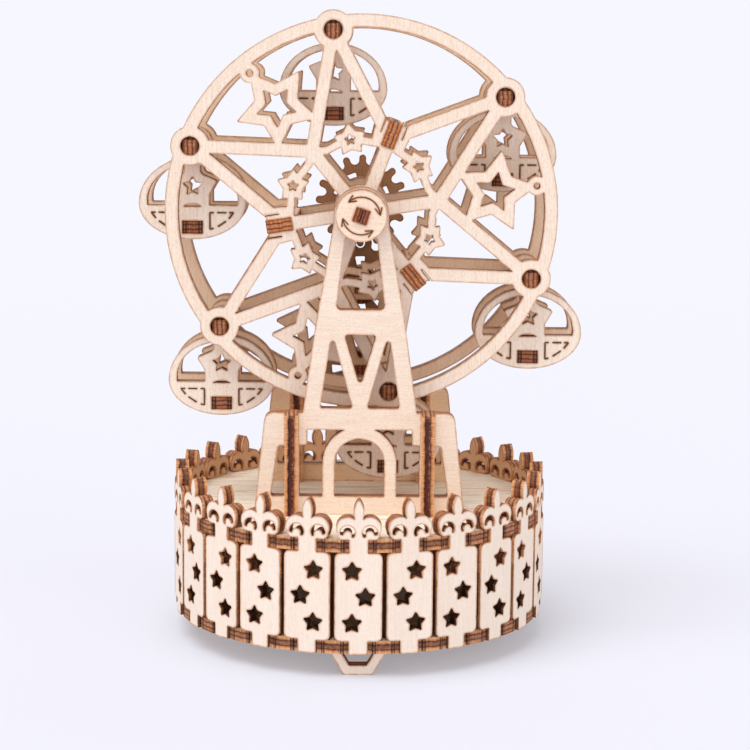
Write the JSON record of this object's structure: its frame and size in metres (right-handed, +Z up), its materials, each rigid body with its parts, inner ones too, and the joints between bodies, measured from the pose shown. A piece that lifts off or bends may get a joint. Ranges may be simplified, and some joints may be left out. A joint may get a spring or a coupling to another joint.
{
  "type": "mechanical ferris wheel toy",
  "caption": "Laser-cut plywood ferris wheel on a round slatted drum, turned by a knob on its axle, with hanging gondolas, two braced towers and a gear train behind.",
  "frame": {"origin": "centre of the drum at the floor, level with the undersides of the feet", "axes": "+Z up, -Y towards the viewer and the turning knob, +X to the viewer's right, wheel axle along Y"},
  "size_m": [0.1196, 0.1018, 0.17],
  "materials": {
    "plywood": "matte",
    "rod_wood": "matte"
  },
  "bodies": {
    "base": {"base_disc": "plywood", "deck_disc": "plywood", "foot_front": "plywood", "foot_left": "plywood", "foot_right": "plywood", "slats_1": "plywood", "slats_2": "plywood", "slats_3": "plywood", "slats_4": "plywood", "slats_5": "plywood", "slats_6": "plywood", "slats_7": "plywood", "slats_8": "plywood", "front_tower": "plywood", "rear_tower": "plywood", "gusset_front_left": "plywood", "gusset_front_right": "plywood", "gusset_rear_left": "plywood", "gusset_rear_right": "plywood", "middle_axle": "rod_wood", "lower_axle": "rod_wood", "axle_caps": "plywood"},
    "wheel": {"wheel_front_plate": "plywood", "wheel_rear_plate": "plywood", "wheel_spacer_1": "plywood", "wheel_spacer_2": "plywood", "wheel_spacer_3": "plywood", "wheel_axle": "rod_wood", "knob": "plywood", "front_washer": "plywood", "rear_washer": "plywood", "gear_washer": "plywood", "wheel_gear": "plywood"},
    "middle_gear": {"middle_gear": "plywood"},
    "lower_gear": {"lower_gear": "plywood"},
    "gondola_1": {"gondola_1_front": "plywood", "gondola_1_rear": "plywood", "gondola_1_seat": "plywood", "gondola_1_pin": "rod_wood"},
    "gondola_2": {"gondola_2_front": "plywood", "gondola_2_rear": "plywood", "gondola_2_seat": "plywood", "gondola_2_pin": "rod_wood"},
    "gondola_3": {"gondola_3_front": "plywood", "gondola_3_rear": "plywood", "gondola_3_seat": "plywood", "gondola_3_pin": "rod_wood"},
    "gondola_4": {"gondola_4_front": "plywood", "gondola_4_rear": "plywood", "gondola_4_seat": "plywood", "gondola_4_pin": "rod_wood"},
    "gondola_5": {"gondola_5_front": "plywood", "gondola_5_rear": "plywood", "gondola_5_seat": "plywood", "gondola_5_pin": "rod_wood"},
    "gondola_6": {"gondola_6_front": "plywood", "gondola_6_rear": "plywood", "gondola_6_seat": "plywood", "gondola_6_pin": "rod_wood"}
  },
  "joints": [
    {"name": "wheel_spin", "type": "hinge", "parent": "base", "child": "wheel", "pos_m": [0, 0, 0.11689], "axis": [0, 1, 0], "continuous": true},
    {"name": "gondola_1_swing", "type": "hinge", "parent": "wheel", "child": "gondola_1", "pos_m": [0.03766, 0, 0.14757], "axis": [0, 1, 0], "continuous": true},
    {"name": "gondola_2_swing", "type": "hinge", "parent": "wheel", "child": "gondola_2", "pos_m": [-0.00774, 0, 0.16484], "axis": [0, 1, 0], "continuous": true},
    {"name": "gondola_3_swing", "type": "hinge", "parent": "wheel", "child": "gondola_3", "pos_m": [-0.04539, 0, 0.13417], "axis": [0, 1, 0], "continuous": true},
    {"name": "gondola_4_swing", "type": "hinge", "parent": "wheel", "child": "gondola_4", "pos_m": [-0.03766, 0, 0.08622], "axis": [0, 1, 0], "continuous": true},
    {"name": "gondola_5_swing", "type": "hinge", "parent": "wheel", "child": "gondola_5", "pos_m": [0.00774, 0, 0.06895], "axis": [0, 1, 0], "continuous": true},
    {"name": "gondola_6_swing", "type": "hinge", "parent": "wheel", "child": "gondola_6", "pos_m": [0.04539, 0, 0.09962], "axis": [0, 1, 0], "continuous": true},
    {"name": "middle_gear_spin", "type": "hinge", "parent": "base", "child": "middle_gear", "pos_m": [0, 0.02835, 0.0928], "axis": [0, 1, 0], "continuous": true},
    {"name": "lower_gear_spin", "type": "hinge", "parent": "base", "child": "lower_gear", "pos_m": [0, 0.02835, 0.0687], "axis": [0, 1, 0], "continuous": true}
  ],
  "couplings": [
    {"joint": "gondola_1_swing", "follows": "wheel_spin", "ratio": -1},
    {"joint": "gondola_2_swing", "follows": "wheel_spin", "ratio": -1},
    {"joint": "gondola_3_swing", "follows": "wheel_spin", "ratio": -1},
    {"joint": "gondola_4_swing", "follows": "wheel_spin", "ratio": -1},
    {"joint": "gondola_5_swing", "follows": "wheel_spin", "ratio": -1},
    {"joint": "gondola_6_swing", "follows": "wheel_spin", "ratio": -1},
    {"joint": "middle_gear_spin", "follows": "wheel_spin", "ratio": -1},
    {"joint": "lower_gear_spin", "follows": "wheel_spin", "ratio": 1}
  ]
}
